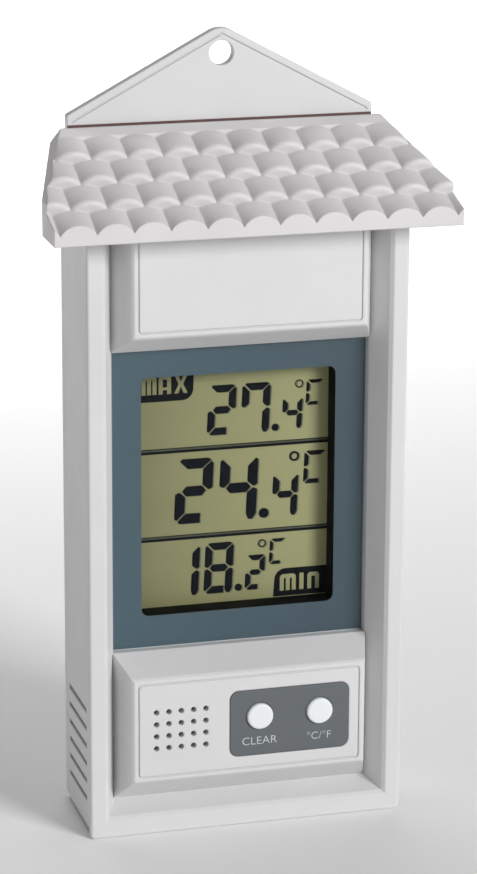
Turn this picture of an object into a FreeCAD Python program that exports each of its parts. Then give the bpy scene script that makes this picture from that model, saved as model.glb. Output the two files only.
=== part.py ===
import FreeCAD, Part
import math
import os
import Sketcher

# Maximum and minimum thermometer for a greenhouse wall: a moulded housing with a
# tiled rain roof, a liquid-crystal module, two push buttons and one AAA cell.
# Heights are measured from the bottom edge, depths forward from the wall.
# Each piece is then lowered so that the origin is the centre of the hanging hole,
# on the back face; +Z is up, the front faces -Y.

SIZES = {
    # housing
    "body_half": 30.3, "flange_half": 30.6, "flange_thick": 1.6,
    "front_depth": 22.5, "parting_depth": 2.8, "body_low": 1.2, "body_top": 119.4,
    "hair": 0.01, "slack": 0.05, "play": 0.1,
    "wall": 1.8, "fit_gap": 0.2, "edge_round": 0.5, "lip_round": 0.7, "relief_half": 0.8,
    # recess in the front
    "recess_half": 27.0, "recess_low": 4.1, "floor_half": 24.9, "floor_low": 5.8,
    "floor_depth": 16.8, "plaque_depth": 23.4, "block_depth": 23.8,
    "plaque_half": 22.5, "plaque_low": 97.0, "block_half": 22.9, "block_low": 10.8,
    "block_high": 31.8, "groove_inset": 1.15, "groove_wide": 0.3, "groove_deep": 0.2,
    "groove_corner": 0.8,
    # window and display
    "window_half": 24.6, "window_low": 35.1, "window_high": 93.1, "window_thick": 1.45,
    "mask_thick": 0.15, "print_gap": 0.02, "view_half": 18.85, "view_low": 41.2,
    "view_high": 87.7, "view_corner": 1.5, "ledge_depth": 13.8, "ledge_margin": 4.2,
    "bezel_half": 22.4, "bezel_low": 37.0, "bezel_high": 92.0, "bezel_wall": 1.2,
    "glass_half": 21.0, "glass_low": 38.4, "glass_high": 90.6, "glass_thick": 1.1,
    "glass_front": 10.45, "film_thick": 0.2, "contact_ledge": 2.4, "zebra_wide": 2.0,
    # circuit board
    "board_half": 22.2, "board_low": 14.0, "board_high": 95.9, "board_front": 6.8,
    "board_thick": 1.2, "post_side": 13.0, "post_low": 34.6, "post_high": 94.0,
    "post_radius": 2.0, "board_bore": 1.1, "solder_gap": 0.02,
    "drop_high": 62, "drop_radius": 6.0, "drop_tall": 1.2,
    "quartz_left": 8, "quartz_long": 6, "quartz_high": 52, "quartz_radius": 1.0,
    "chip_left": -16, "chip_low": 48, "chip_pitch": 3.2, "side_chip_left": 10,
    "side_chip_low": 74, "side_chip_pitch": 4, "chip_long": 2.0, "chip_wide": 1.2,
    "chip_tall": 0.7, "bead_radius": 1.3, "bead_behind": 2.2, "bead_lead": 0.25,
    # control block
    "vent_side": -13.35, "vent_high": 24.9, "vent_pitch": 2.4, "vent_radius": 0.53,
    "label_left": -3.85, "label_right": 19.6, "label_low": 14.6, "label_high": 27.7,
    "label_corner": 1.7, "label_thick": 0.4, "label_proud": 0.1, "label_gap": 0.08,
    "clear_side": 2.0, "unit_side": 13.75, "button_high": 22.45, "button_radius": 2.55,
    "button_proud": 0.8, "button_flange": 3.4, "button_stem": 1.8, "button_travel": 0.5,
    "button_edge": 0.45, "button_flange_thick": 1.2, "stem_gap": 0.03,
    "switch_half": 3.0, "switch_tall": 3.5, "plunger_radius": 1.75, "plunger_tall": 1.1,
    # slots in the side walls
    "slot_back": 3.5, "slot_front": 18.0, "slot_low": 6.1, "slot_pitch": 3.55,
    "slot_tall": 1.0,
    # rear cover, gable and hanging hole
    "cover_thick": 2.0, "cover_low": 1.5, "gable_half": 29.3, "gable_corner": 134.9,
    "gable_apex": 150.6, "gable_round": 4.5, "gable_inset": 1.3, "gable_margin": 0.9,
    "shoulder_high": 121.5,
    "hang_height": 145.4, "hang_radius": 2.35,
    "screw_side": 25.6, "screw_low": 30.0, "screw_high": 92.0, "boss_radius": 2.7,
    "screw_radius": 1.1, "screw_gap": 0.15, "head_gap": 0.3, "head_radius": 2.2, "head_thick": 1.1,
    "roof_screw_side": 18.0, "roof_screw_high": 123.5, "roof_screw_long": 7.1,
    "board_head_radius": 1.8, "board_head_thick": 0.9, "board_screw_long": 5,
    "screw_point_gap": 2.5, "drive_wide": 0.5,
    # battery bay, cell and door
    "bay_half": 25.2, "bay_low": 99.9, "bay_high": 111.9, "bay_depth": 13.0,
    "bay_wall": 1.2, "bay_outer_half": 27.6, "bay_outer_low": 96.2, "bay_outer_high": 114.8,
    "cell_radius": 5.25, "cell_long": 44.5, "nub_radius": 1.9, "nub_long": 0.9,
    "contact_thick": 0.4, "contact_reach": 4.2, "dimple_tall": 0.13,
    "coil_radius": 3.2, "coil_pitch": 1.3, "wire_radius": 0.35, "lead_radius": 0.55,
    "door_half": 26.0, "door_high": 113.4, "door_thick": 1.8, "door_gap": 0.3,
    "hinge_high": 98.6, "hinge_depth": 1.0, "pin_radius": 0.6, "pin_long": 1.4,
    "pin_clearance": 0.06, "nail_half": 6, "nail_deep": 0.4, "nail_tall": 0.6,
    "nail_pitch": 1.2, "nail_top": 2.4,
    # roof
    "ridge_back": 2.9, "ridge_high": 132.8, "roof_slope": 27.16, "eave_depth": 30.4,
    "eave_low": 116.8, "eave_half": 38.2, "hip_top_half": 30.8, "hip_lean": 0.78,
    "wing_depth": 20.4, "wing_back_half": 32.8, "roof_wall": 1.6,
    "tile_pitch": 6.745, "tile_long": 7.05, "ridge_strip": 2.65, "tile_rise": 1.65,
    "tile_sink": 0.8, "tile_nose": 0.8, "tile_base": 3.0, "tile_rows": 4,
    "first_row_tiles": 8, "eave_overhang": 1.2, "eave_rise": 0.3,
}


class Size:
    """A number together with the spreadsheet expression that gives it."""

    def __init__(self, number, text):
        self.number = number
        self.text = text

    def joined(self, sign, other, number):
        return Size(number, "(%s %s %s)" % (self.text, sign, other.text))

    def __add__(self, other):
        other = as_size(other)
        return self.joined("+", other, self.number + other.number)

    def __sub__(self, other):
        other = as_size(other)
        return self.joined("-", other, self.number - other.number)

    def __rsub__(self, other):
        return as_size(other) - self

    def __mul__(self, other):
        other = as_size(other)
        return self.joined("*", other, self.number * other.number)

    def __neg__(self):
        return Size(-self.number, "(-%s)" % self.text)

    __radd__ = __add__
    __rmul__ = __mul__


def as_size(value):
    """Return value as a Size; a plain number becomes its own expression."""
    if isinstance(value, Size):
        return value
    return Size(float(value), "%g" % value)


class Sheet:
    """The driving dimensions, readable as attributes that are Size objects."""

    def __init__(self, document, sizes):
        self.cells = document.addObject("Spreadsheet::Sheet", "Sizes")
        for row, (alias, number) in enumerate(sizes.items(), start=1):
            self.cells.set("A%d" % row, alias)
            self.cells.set("B%d" % row, "%g" % number)
            self.cells.setAlias("B%d" % row, alias)
            setattr(self, alias, Size(float(number), "Sizes." + alias))


doc = FreeCAD.newDocument("MaxMinThermometer")
D = Sheet(doc, SIZES)
doc.recompute()

ALONG_X = FreeCAD.Rotation(FreeCAD.Vector(0, 1, 0), 90)
FORWARD = FreeCAD.Rotation(FreeCAD.Vector(1, 0, 0), 90)
subparts = []


# ---------------------------------------------------------------- sub-part helpers

def finish_subpart(piece, label):
    """Name the piece and lower it so that the hanging hole is the origin."""
    piece.Label = label
    piece.setExpression("Placement.Base.z", (-D.hang_height).text)
    subparts.append(piece)
    return piece


def new_body(label):
    return finish_subpart(doc.addObject("PartDesign::Body", label), label)


def new_sketch(body, plane, offset):
    """Start a sketch on one of the body's own origin planes, moved by offset."""
    sketch = body.newObject("Sketcher::SketchObject", "Profile")
    support = [f for f in body.Origin.OriginFeatures if f.Role == plane][0]
    sketch.AttachmentSupport = [(support, "")]
    sketch.MapMode = "FlatFace"
    sketch.setExpression("AttachmentOffset.Base.z", as_size(offset).text)
    return sketch


def pin_point(sketch, line, end, across, up):
    """Hold one sketch point at (across, up), both bound to the sheet."""
    for kind, size in (("DistanceX", across), ("DistanceY", up)):
        index = sketch.addConstraint(
            Sketcher.Constraint(kind, -1, 1, line, end, size.number))
        sketch.setExpression("Constraints[%d]" % index, size.text)


def draw_polygon(sketch, corners):
    corners = [(as_size(across), as_size(up)) for across, up in corners]
    points = [FreeCAD.Vector(across.number, up.number, 0) for across, up in corners]
    first = sketch.GeometryCount
    count = len(points)
    for i in range(count):
        sketch.addGeometry(Part.LineSegment(points[i], points[(i + 1) % count]))
    for i in range(count):
        following = first + (i + 1) % count
        sketch.addConstraint(Sketcher.Constraint("Coincident", first + i, 2, following, 1))
    for i, (across, up) in enumerate(corners):
        pin_point(sketch, first + i, 1, across, up)


def draw_rectangle(sketch, left, right, low, high):
    draw_polygon(sketch, [(left, low), (right, low), (right, high), (left, high)])


def draw_rounded(sketch, left, right, low, high, corner):
    """Rectangle with round corners: four lines and four arcs, all held by the sheet."""
    left, right = as_size(left), as_size(right)
    low, high, corner = as_size(low), as_size(high), as_size(corner)
    sides = [((left + corner, low), (right - corner, low)),
             ((right, low + corner), (right, high - corner)),
             ((right - corner, high), (left + corner, high)),
             ((left, high - corner), (left, low + corner))]
    centres = [(right - corner, low + corner), (right - corner, high - corner),
               (left + corner, high - corner), (left + corner, low + corner)]
    first = sketch.GeometryCount
    for start, end in sides:
        sketch.addGeometry(Part.LineSegment(
            FreeCAD.Vector(start[0].number, start[1].number, 0),
            FreeCAD.Vector(end[0].number, end[1].number, 0)))
    for i, (across, up) in enumerate(centres):
        centre = FreeCAD.Vector(across.number, up.number, 0)
        circle = Part.Circle(centre, FreeCAD.Vector(0, 0, 1), corner.number)
        turn = (i - 1) * math.pi / 2
        arc = sketch.addGeometry(Part.ArcOfCircle(circle, turn, turn + math.pi / 2))
        following = first + (i + 1) % 4
        sketch.addConstraint(Sketcher.Constraint("Coincident", arc, 1, first + i, 2))
        sketch.addConstraint(Sketcher.Constraint("Coincident", arc, 2, following, 1))
        index = sketch.addConstraint(Sketcher.Constraint("Radius", arc, corner.number))
        sketch.setExpression("Constraints[%d]" % index, corner.text)
    for i, (start, end) in enumerate(sides):
        pin_point(sketch, first + i, 1, *start)
        pin_point(sketch, first + i, 2, *end)


def draw_circle(sketch, across, up, radius):
    across, up, radius = as_size(across), as_size(up), as_size(radius)
    centre = FreeCAD.Vector(across.number, up.number, 0)
    circle = sketch.addGeometry(
        Part.Circle(centre, FreeCAD.Vector(0, 0, 1), radius.number))
    pin_point(sketch, circle, 3, across, up)
    index = sketch.addConstraint(Sketcher.Constraint("Radius", circle, radius.number))
    sketch.setExpression("Constraints[%d]" % index, radius.text)


def add_pad(body, draw, start, end, plane="XZ_Plane"):
    """Pad what draw(sketch) draws, from depth start forward to depth end."""
    sketch = new_sketch(body, plane, start)
    draw(sketch)
    pad = body.newObject("PartDesign::Pad", "Pad")
    pad.Profile = sketch
    pad.setExpression("Length", (as_size(end) - start).text)
    body.Tip = pad
    return pad


def add_pocket(body, draw, start, end, plane="XZ_Plane"):
    """Cut what draw(sketch) draws, from depth end back to depth start."""
    sketch = new_sketch(body, plane, end)
    draw(sketch)
    pocket = body.newObject("PartDesign::Pocket", "Pocket")
    pocket.Profile = sketch
    pocket.setExpression("Length", (as_size(end) - start).text)
    body.Tip = pocket
    return pocket


def add_loft(body, kind, near, near_depth, far, far_depth):
    """Loft between two drawn profiles; kind is AdditiveLoft or SubtractiveLoft."""
    first = new_sketch(body, "XZ_Plane", near_depth)
    near(first)
    second = new_sketch(body, "XZ_Plane", far_depth)
    far(second)
    loft = body.newObject("PartDesign::" + kind, kind)
    loft.Profile = first
    loft.Sections = [second]
    body.Tip = loft
    return loft


def rectangle(half, low, high, centre=0):
    """A drawing function for a rectangle with its middle at centre."""
    middle = as_size(centre)
    return lambda sketch: draw_rectangle(sketch, middle - half, middle + half, low, high)


def rounded(half, low, high, corner, centre=0):
    """A drawing function for a rectangle with round corners."""
    middle = as_size(centre)
    return lambda sketch: draw_rounded(sketch, middle - half, middle + half,
                                       low, high, corner)


def rounded_ring(half, low, high, corner, width):
    """A drawing function for a frame with round corners, of the given width."""
    def draw(sketch):
        draw_rounded(sketch, -half, half, low, high, corner)
        inner = half - width
        draw_rounded(sketch, -inner, inner, low + width, high - width, corner - width)
    return draw


def ring(half, low, high, width):
    """A drawing function for a rectangular frame of the given width."""
    def draw(sketch):
        draw_rectangle(sketch, -half, half, low, high)
        inner = half - width
        draw_rectangle(sketch, -inner, inner, low + width, high - width)
    return draw


def circles(places, radius):
    """A drawing function for equal circles at each (across, up) place."""
    def draw(sketch):
        for across, up in places:
            draw_circle(sketch, across, up, radius)
    return draw


def fillet_edges(body, radius, chosen):
    """Fillet the edges so far whose bounding box passes chosen()."""
    doc.recompute()
    base = body.Tip
    names = ["Edge%d" % i for i, edge in enumerate(base.Shape.Edges, start=1)
             if chosen(edge.BoundBox)]
    fillet = body.newObject("PartDesign::Fillet", "Fillet")
    fillet.Base = (base, names)
    fillet.setExpression("Radius", as_size(radius).text)
    body.Tip = fillet


def round_upright_edges(body, radius, fits):
    """Fillet the edges that run front to back and whose middle passes fits()."""
    def chosen(box):
        runs_back = box.YLength > 0.05 and box.XLength < 0.001 and box.ZLength < 0.001
        return runs_back and fits(box.Center)
    fillet_edges(body, radius, chosen)


def round_face_edges(body, radius, depth, fits):
    """Fillet the edges of the face at a depth, where their middle passes fits()."""
    def chosen(box):
        in_face = box.YLength < 0.001 and abs(box.YMin + depth.number) < 0.001
        return in_face and fits(box.Center)
    fillet_edges(body, radius, chosen)


def rounded_plate(label, half, low, high, corner, start, end, centre=0):
    body = new_body(label)
    add_pad(body, rectangle(half, low, high, centre), start, end)
    round_upright_edges(body, corner, lambda middle: True)
    return body


def box(name, left, right, back, front, low, high):
    """A block between two sides, two depths and two heights."""
    left, front, low = as_size(left), as_size(front), as_size(low)
    block = doc.addObject("Part::Box", name)
    block.setExpression("Length", (as_size(right) - left).text)
    block.setExpression("Width", (front - back).text)
    block.setExpression("Height", (as_size(high) - low).text)
    block.setExpression("Placement.Base.x", left.text)
    block.setExpression("Placement.Base.y", (-front).text)
    block.setExpression("Placement.Base.z", low.text)
    return block


def rod(name, radius, across, up, start, end):
    """A cylinder that runs forward from depth start to depth end."""
    cylinder = doc.addObject("Part::Cylinder", name)
    cylinder.Placement.Rotation = FORWARD
    cylinder.setExpression("Radius", as_size(radius).text)
    cylinder.setExpression("Height", (as_size(end) - start).text)
    cylinder.setExpression("Placement.Base.x", as_size(across).text)
    cylinder.setExpression("Placement.Base.y", (-as_size(start)).text)
    cylinder.setExpression("Placement.Base.z", as_size(up).text)
    return cylinder


def crossbar(name, radius, left, right, depth, up):
    """A cylinder that runs sideways from left to right."""
    cylinder = doc.addObject("Part::Cylinder", name)
    cylinder.Placement.Rotation = ALONG_X
    cylinder.setExpression("Radius", as_size(radius).text)
    cylinder.setExpression("Height", (as_size(right) - left).text)
    cylinder.setExpression("Placement.Base.x", as_size(left).text)
    cylinder.setExpression("Placement.Base.y", (-as_size(depth)).text)
    cylinder.setExpression("Placement.Base.z", as_size(up).text)
    return cylinder


def fused(label, pieces):
    union = doc.addObject("Part::MultiFuse", label)
    union.Shapes = pieces
    return finish_subpart(union, label)


def grouped(label, pieces):
    """Keep equal pieces as separate solids of one sub-part."""
    group = doc.addObject("Part::Compound", label)
    group.Links = pieces
    return finish_subpart(group, label)


# ---------------------------------------------------------------- housing

COVER_SCREWS = [(side * D.screw_side, up)
                for side in (-1, 1) for up in (D.screw_low, D.screw_high)]
ROOF_SCREWS = [(side * D.roof_screw_side, D.roof_screw_high) for side in (-1, 1)]
BOARD_POSTS = [(side * D.post_side, up)
               for side in (-1, 1) for up in (D.post_low, D.post_high)]
BUTTON_PLACES = [(D.clear_side, D.button_high), (D.unit_side, D.button_high)]
GRILLE_COLUMNS = 5
GRILLE_ROWS = 4
SIDE_SLOTS = 6
LOWER_CHIPS = 4
SIDE_CHIPS = 3
NAIL_GROOVES = 4


def front_housing():
    body = new_body("front_housing")
    back_of_flange = D.front_depth - D.flange_thick
    add_pad(body, rectangle(D.body_half, D.body_low, D.body_top),
            D.parting_depth, back_of_flange)
    add_pad(body, rectangle(D.flange_half, 0, D.body_top), back_of_flange, D.front_depth)
    round_upright_edges(body, D.edge_round * 1.5, lambda middle: middle.z < 0.1)
    round_face_edges(body, D.edge_round, D.front_depth, below_roof)
    hollow_housing(body)
    shape_recess(body)
    seat_window(body)
    add_bosses(body)
    cut_block_openings(body)
    cut_side_slots(body)


def below_roof(middle):
    """Is this point of the front outside the part that the roof covers?"""
    return middle.z < D.body_top.number - D.wall.number - D.play.number


def hollow_housing(body):
    """Empty the box from behind, and relieve the frame beside the recess."""
    inside = D.floor_depth - D.wall
    roof_side = D.body_top - D.wall
    add_pocket(body, rectangle(D.body_half - D.wall, D.body_low + D.wall, roof_side),
               D.parting_depth, inside)
    middle = D.body_half - D.wall - D.relief_half
    for side in (-1, 1):
        add_pocket(body, rectangle(D.relief_half, D.body_low + D.wall, roof_side,
                                   side * middle), inside, inside + D.wall * 2)


def shape_recess(body):
    """Sloping recess with the upper plaque and the control block standing in it."""
    top = D.body_top - D.wall
    rim = D.front_depth - D.lip_round
    add_loft(body, "SubtractiveLoft",
             rectangle(D.recess_half + D.lip_round, D.recess_low - D.lip_round, top),
             D.front_depth, rectangle(D.recess_half, D.recess_low, top), rim)
    add_loft(body, "SubtractiveLoft", rectangle(D.recess_half, D.recess_low, top), rim,
             rectangle(D.floor_half, D.floor_low, top), D.floor_depth)
    add_stand(body, D.window_high + D.fit_gap, top,
              D.plaque_half, D.plaque_low, top, D.plaque_depth)
    add_stand(body, D.floor_low, D.window_low - D.fit_gap,
              D.block_half, D.block_low, D.block_high, D.block_depth)
    inside = D.floor_depth - D.wall
    add_pocket(body, rectangle(D.plaque_half - D.wall, D.plaque_low + D.wall,
                               top - D.wall), inside, D.plaque_depth - D.wall)
    add_pocket(body, rectangle(D.block_half - D.wall, D.block_low + D.wall,
                               D.block_high - D.wall), inside, D.block_depth - D.wall)
    cut_groove(body, D.plaque_half, D.plaque_low, top, D.plaque_depth)
    cut_groove(body, D.block_half, D.block_low, D.block_high, D.block_depth)


def add_stand(body, foot_low, foot_high, half, low, high, depth):
    """Raised block with sloping sides and a softened edge round its face."""
    soft = D.edge_round
    shoulder = rectangle(half, low, high)
    add_loft(body, "AdditiveLoft", rectangle(D.floor_half, foot_low, foot_high),
             D.floor_depth, shoulder, depth - soft)
    add_loft(body, "AdditiveLoft", shoulder, depth - soft,
             rectangle(half - soft, low + soft, high - soft), depth)


def cut_groove(body, half, low, high, depth):
    """Fine line that runs inside the edge of a stand's face."""
    inset = D.groove_inset
    add_pocket(body, rounded_ring(half - inset, low + inset, high - inset,
                                  D.groove_corner, D.groove_wide),
               depth - D.groove_deep, depth)


def seat_window(body):
    """Ledge behind the floor, the seat for the window and the viewing opening."""
    inside = D.floor_depth - D.wall
    seat = D.window_thick + D.mask_thick + D.slack
    add_pad(body, rectangle(D.window_half + D.wall, D.window_low - D.wall,
                            D.window_high + D.wall), D.ledge_depth, inside)
    add_pocket(body, rectangle(D.window_half + D.fit_gap, D.window_low - D.fit_gap,
                               D.window_high + D.fit_gap),
               D.floor_depth - seat, D.floor_depth)
    margin = D.ledge_margin
    add_pocket(body, rectangle(D.window_half - margin, D.window_low + margin,
                               D.window_high - margin),
               D.ledge_depth, D.floor_depth)


def add_bosses(body):
    """Bosses for the cover screws and posts for the circuit board."""
    inside = D.floor_depth - D.wall
    clear_of_cover = D.cover_thick + D.slack
    add_pad(body, circles(COVER_SCREWS, D.boss_radius), clear_of_cover, inside)
    add_pocket(body, circles(COVER_SCREWS, D.screw_radius + D.slack),
               clear_of_cover, D.ledge_depth)
    post_end = D.board_front + D.solder_gap
    add_pad(body, circles(BOARD_POSTS, D.post_radius), post_end, inside)
    add_pocket(body, circles(BOARD_POSTS, D.board_bore - D.screw_gap), post_end, D.ledge_depth)


def cut_block_openings(body):
    """Air grille, label seat and button holes in the control block."""
    half_wide = (GRILLE_COLUMNS - 1) / 2
    grille = [(D.vent_side + (column - half_wide) * D.vent_pitch,
               D.vent_high - row * D.vent_pitch)
              for column in range(GRILLE_COLUMNS) for row in range(GRILLE_ROWS)]
    behind = D.block_depth - D.wall
    add_pocket(body, circles(grille, D.vent_radius), behind, D.block_depth)
    add_pocket(body, circles(BUTTON_PLACES, D.button_radius + D.play), behind, D.block_depth)
    half = (D.label_right - D.label_left) * 0.5
    middle = (D.label_right + D.label_left) * 0.5
    gap = D.label_gap
    add_pocket(body, rounded(half + gap, D.label_low - gap, D.label_high + gap,
                             D.label_corner + gap, middle),
               D.block_depth - D.label_thick + D.label_proud, D.block_depth)


def cut_side_slots(body):
    """Horizontal air slots through both side walls."""
    def draw(sketch):
        for row in range(SIDE_SLOTS):
            low = D.slot_low + row * D.slot_pitch
            draw_rectangle(sketch, -D.slot_front, -D.slot_back, low, low + D.slot_tall)
    add_pocket(body, draw, D.body_half - D.wall, D.body_half + D.hair, "YZ_Plane")
    add_pocket(body, draw, -D.body_half - D.hair, -D.body_half + D.wall, "YZ_Plane")


def gable_slope():
    """Rise of the gable edge for each millimetre across."""
    return (D.gable_apex.number - D.gable_corner.number) / D.gable_half.number


def rear_cover():
    body = new_body("rear_cover")
    outline = [(-D.body_half, D.cover_low), (D.body_half, D.cover_low),
               (D.body_half, D.shoulder_high), (D.gable_half, D.shoulder_high),
               (D.gable_half, D.gable_corner), (0, D.gable_apex),
               (-D.gable_half, D.gable_corner), (-D.gable_half, D.shoulder_high),
               (-D.body_half, D.shoulder_high)]
    add_pad(body, lambda sketch: draw_polygon(sketch, outline), 0, D.cover_thick)
    apex = D.gable_apex.number
    round_upright_edges(body, D.gable_round, lambda middle: middle.z > apex - 1)
    add_pad(body, ring(D.body_half, D.cover_low, D.body_top, D.wall - D.play),
            D.cover_thick, D.parting_depth - D.slack)
    add_battery_bay(body)
    cut_cover_holes(body)
    cut_gable_groove(body)


def add_battery_bay(body):
    """Box for the cell, its opening in the back and the bores of the door hinge."""
    add_pad(body, rectangle(D.bay_outer_half, D.bay_outer_low, D.bay_outer_high),
            D.cover_thick, D.bay_depth + D.bay_wall)
    add_pocket(body, rectangle(D.bay_half, D.bay_low, D.bay_high), 0, D.bay_depth)
    gap = D.door_gap
    lowest = D.hinge_high - D.door_thick * 0.5
    add_pocket(body, rectangle(D.door_half + gap, lowest - gap, D.door_high + gap),
               0, D.cover_thick)
    bore = D.pin_radius + D.pin_clearance
    reach = D.door_half + D.pin_long + gap
    add_pocket(body, circles([(-D.hinge_depth, D.hinge_high)], bore),
               -reach, reach, "YZ_Plane")


def cut_cover_holes(body):
    """Hanging hole and the countersunk seats of the screws."""
    add_pocket(body, circles([(0, D.hang_height)], D.hang_radius), 0, D.cover_thick)
    screws = COVER_SCREWS + ROOF_SCREWS
    add_pocket(body, circles(screws, D.screw_radius + D.screw_gap), 0, D.cover_thick)
    add_pocket(body, circles(screws, D.head_radius + D.head_gap), 0, D.head_thick + D.play)


def cut_gable_groove(body):
    """Shallow line that follows the two slopes of the gable, on its front face."""
    slope = gable_slope()
    upright = 1 / math.cos(math.atan(slope))
    outer = D.gable_apex - D.gable_inset * upright
    inner = outer - D.groove_wide * upright
    reach = D.gable_half - D.gable_margin
    drop = reach * slope
    corners = [(0, outer), (-reach, outer - drop), (-reach, inner - drop), (0, inner),
               (reach, inner - drop), (reach, outer - drop)]
    add_pocket(body, lambda sketch: draw_polygon(sketch, corners),
               D.cover_thick - D.groove_deep, D.cover_thick)


# ---------------------------------------------------------------- roof

def on_slope(across, along, level):
    """Point of the roof: along the slope from the ridge, level above its plane."""
    angle = math.radians(D.roof_slope.number)
    back = -D.ridge_back.number - along * math.cos(angle) - level * math.sin(angle)
    high = D.ridge_high.number - along * math.sin(angle) + level * math.cos(angle)
    return FreeCAD.Vector(across, back, high)


def scallop(valleys, along, valley, peak):
    """Closed wire across the roof: one arc for each tile, flat underneath."""
    base = -D.tile_base.number
    edges = []
    for left, right in zip(valleys, valleys[1:]):
        middle = on_slope((left + right) / 2, along, peak)
        arc = Part.Arc(on_slope(left, along, valley), middle,
                       on_slope(right, along, valley))
        edges.append(arc.toShape())
    low_right = on_slope(valleys[-1], along, base)
    low_left = on_slope(valleys[0], along, base)
    edges.append(Part.makeLine(on_slope(valleys[-1], along, valley), low_right))
    edges.append(Part.makeLine(low_right, low_left))
    edges.append(Part.makeLine(low_left, on_slope(valleys[0], along, valley)))
    return Part.Wire(edges)


def tile_row(row):
    """One course of barrel tiles with round noses, offset by half a tile each time."""
    pitch, nose = D.tile_pitch.number, D.tile_nose.number
    tiles = int(D.first_row_tiles.number) + row + 4
    valleys = [(i - tiles / 2) * pitch for i in range(tiles + 1)]
    start = D.ridge_strip.number + row * D.tile_long.number
    end = start + D.tile_long.number
    rise = D.tile_rise.number
    if row == D.tile_rows.number - 1:
        end += D.eave_overhang.number
        rise += D.eave_rise.number
    sections = [scallop(valleys, start, -D.tile_sink.number, 0.0)]
    for degrees in (0, 30, 60, 90):
        angle = math.radians(degrees)
        drop = nose * (1 - math.cos(angle))
        sections.append(scallop(valleys, end - nose + nose * math.sin(angle),
                                -drop, rise - drop))
    return Part.makeLoft(sections, True, True)


def prism_across(profile, half):
    """Solid with the given (depth, height) outline, from -half to +half sideways."""
    points = [FreeCAD.Vector(-half, -depth, high) for depth, high in profile]
    face = Part.Face(Part.makePolygon(points + points[:1]))
    return face.extrude(FreeCAD.Vector(2 * half, 0, 0))


def under_slope(level, back, front, low):
    """Solid below a plane parallel to the slope, between two depths."""
    slope = math.tan(math.radians(D.roof_slope.number))
    drop = level / math.cos(math.radians(D.roof_slope.number))
    high = D.ridge_high.number + drop
    at_back = high - (back - D.ridge_back.number) * slope
    at_front = high - (front - D.ridge_back.number) * slope
    profile = [(back, low), (back, at_back), (front, at_front), (front, low)]
    return prism_across(profile, D.eave_half.number + 10)


def hood(inset, back, front):
    """Outline of the roof seen from the front and from above, drawn in by inset."""
    half = D.eave_half.number - inset
    top_half = D.hip_top_half.number - inset * 1.2
    low, high = D.eave_low.number, D.ridge_high.number + 2
    hip_low = D.ridge_high.number - (half - top_half) / D.hip_lean.number
    over = top_half - 2 * D.hip_lean.number
    elevation = [(-half, low), (half, low), (half, hip_low), (over, high),
                 (-over, high), (-half, hip_low)]
    points = [FreeCAD.Vector(across, -front, up) for across, up in elevation]
    seen_from_front = Part.Face(Part.makePolygon(points + points[:1]))
    seen_from_front = seen_from_front.extrude(FreeCAD.Vector(0, front - back, 0))
    rear = D.wing_back_half.number - inset
    wing = D.wing_depth.number
    plan = [(-rear, back), (rear, back), (half, wing), (half, front),
            (-half, front), (-half, wing)]
    points = [FreeCAD.Vector(across, -depth, low) for across, depth in plan]
    seen_from_above = Part.Face(Part.makePolygon(points + points[:1]))
    seen_from_above = seen_from_above.extrude(FreeCAD.Vector(0, 0, high - low))
    return seen_from_front.common(seen_from_above)


def roof_shell():
    """Hood with four courses of tiles; open below and against the rear cover."""
    back, front = D.ridge_back.number, D.eave_depth.number
    low, wall = D.eave_low.number, D.roof_wall.number
    sink = D.tile_sink.number
    strip = on_slope(0, D.ridge_strip.number, 0)
    solid = under_slope(-sink - 0.2, back, front, low)
    solid = solid.fuse(under_slope(0, back, -strip.y, strip.z - wall - 1))
    solid = solid.multiFuse([tile_row(row) for row in range(int(D.tile_rows.number))])
    solid = solid.common(hood(0, back, front))
    cavity = under_slope(-sink - wall + 0.2, back, front - wall, low)
    cavity = cavity.common(hood(wall, back, front))
    for side in (-1, 1):
        centre = FreeCAD.Vector(side * D.roof_screw_side.number, -back,
                                D.roof_screw_high.number)
        boss = Part.makeCylinder(D.boss_radius.number - 0.3, front, centre,
                                 FreeCAD.Vector(0, -1, 0))
        bore = Part.makeCylinder(D.screw_radius.number + D.slack.number,
                                 D.roof_screw_long.number + 2, centre,
                                 FreeCAD.Vector(0, -1, 0))
        cavity = cavity.cut(boss).fuse(bore)
    roof = doc.addObject("Part::Feature", "roof_shell")
    roof.Shape = solid.cut(cavity).removeSplitter()
    finish_subpart(roof, "roof_shell")


# ---------------------------------------------------------------- window and display

def window_parts():
    """Clear window and the printed border behind it."""
    back = D.floor_depth - D.slack - D.window_thick
    half, low, high = D.window_half, D.window_low, D.window_high
    lens = new_body("display_window")
    add_pad(lens, rectangle(half, low, high), back, back + D.window_thick)
    mask = new_body("window_border")
    front = back - D.print_gap
    add_pad(mask, rectangle(half, low, high), back - D.mask_thick, front)
    add_pocket(mask, rectangle(D.view_half, D.view_low, D.view_high),
               back - D.mask_thick, front)
    view = D.view_half.number + 1
    round_upright_edges(mask, D.view_corner, lambda middle: abs(middle.x) < view)


def display_bezel():
    """Black frame: a tube up to the window, and walls around the glass."""
    body = new_body("display_bezel")
    margin = D.ledge_margin + D.fit_gap
    tube_front = D.floor_depth - D.slack - D.window_thick - D.mask_thick - D.slack
    glass_side = D.glass_front + D.film_thick + D.slack
    add_pad(body, rectangle(D.bezel_half, D.bezel_low, D.bezel_high),
            D.board_front + D.slack, D.ledge_depth - D.slack)
    add_pad(body, rectangle(D.window_half - margin, D.window_low + margin,
                            D.window_high - margin), D.ledge_depth - D.slack, tube_front)
    add_pocket(body, rectangle(D.view_half, D.view_low, D.view_high),
               D.board_front + D.slack, tube_front)
    add_pocket(body, rectangle(D.bezel_half - D.bezel_wall, D.bezel_low + D.bezel_wall,
                               D.bezel_high - D.bezel_wall),
               D.board_front + D.slack, glass_side)


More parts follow.
